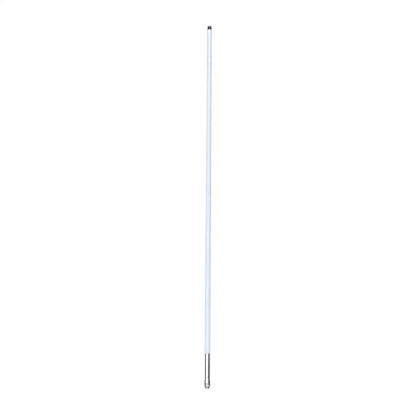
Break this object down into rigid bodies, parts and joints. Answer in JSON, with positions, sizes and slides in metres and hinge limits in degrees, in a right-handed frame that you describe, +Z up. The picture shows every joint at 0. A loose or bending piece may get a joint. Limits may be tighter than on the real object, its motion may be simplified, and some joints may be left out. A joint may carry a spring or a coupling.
{
  "type": "omnidirectional antenna",
  "caption": "Tall slim outdoor omnidirectional antenna: a white glass-fibre radome with a black cap over a stack of dipoles, on a polished metal sleeve with a threaded jack and hex nut.",
  "frame": {"origin": "centre of the jack's open end, the lowest point of the antenna", "axes": "+Z up along the antenna's axis to the cap; -Y is the front, from where the marking is seen a little to the right; +X is to the right of it"},
  "size_m": [0.0208, 0.02, 1.5],
  "materials": {
    "radome_fibreglass": "gloss",
    "cap_plastic": "gloss",
    "sleeve_aluminium": "polished",
    "collar_aluminium": "polished",
    "nickel_plate": "polished",
    "stainless_steel": "satin",
    "gold_plate": "polished",
    "ptfe": "satin",
    "seal_rubber": "satin",
    "marking_ink": "satin",
    "silver_plate": "polished",
    "copper": "polished",
    "bright_brass": "polished",
    "nylon": "satin",
    "shrink_sleeve": "satin",
    "foam": "matte"
  },
  "bodies": {
    "antenna": {"radome_tube": "radome_fibreglass", "top_cap": "cap_plastic", "base_sleeve": "sleeve_aluminium", "base_collar": "collar_aluminium", "jack_body": "nickel_plate", "collar_grub_screws": "stainless_steel", "radome_rivets": "stainless_steel", "jack_contact": "gold_plate", "jack_dielectric": "ptfe", "feed_dielectric": "ptfe", "cap_seal": "seal_rubber", "radome_seal": "seal_rubber", "jack_seal": "seal_rubber", "marking_bars": "marking_ink", "feed_inner_wire": "silver_plate", "feed_outer_segments": "copper", "balun_choke": "bright_brass", "matching_sleeve": "bright_brass", "top_short": "bright_brass", "dipole_01": "bright_brass", "dipole_02": "bright_brass", "dipole_03": "bright_brass", "dipole_04": "bright_brass", "dipole_05": "bright_brass", "dipole_06": "bright_brass", "dipole_07": "bright_brass", "dipole_08": "bright_brass", "dipole_09": "bright_brass", "dipole_10": "bright_brass", "dipole_11": "bright_brass", "dipole_12": "bright_brass", "dipole_13": "bright_brass", "dipole_14": "bright_brass", "dipole_15": "bright_brass", "feed_bush": "nylon", "spacer_01": "nylon", "spacer_02": "nylon", "spacer_03": "nylon", "spacer_04": "nylon", "spacer_05": "nylon", "spacer_06": "nylon", "spacer_07": "nylon", "spacer_08": "nylon", "spacer_09": "nylon", "spacer_10": "nylon", "spacer_11": "nylon", "spacer_12": "nylon", "spacer_13": "nylon", "spacer_14": "nylon", "spacer_15": "nylon", "heat_shrink": "shrink_sleeve", "top_foam_pad": "foam"},
    "washers": {"lock_washer": "stainless_steel", "flat_washer": "stainless_steel"},
    "nut": {"mounting_nut": "nickel_plate"}
  },
  "joints": [
    {"name": "washer_drop", "type": "slide", "parent": "antenna", "child": "washers", "axis": [0, 0, -1], "range_m": [0, 0.01058]},
    {"name": "nut_turn", "type": "hinge", "parent": "washers", "child": "nut", "pos_m": [0, 0, 0.00975], "axis": [0, 0, -1], "range_deg": [0, 3601]}
  ],
  "couplings": [
    {"joint": "nut_turn", "follows": "washer_drop", "rad_per_m": 5936.9}
  ]
}
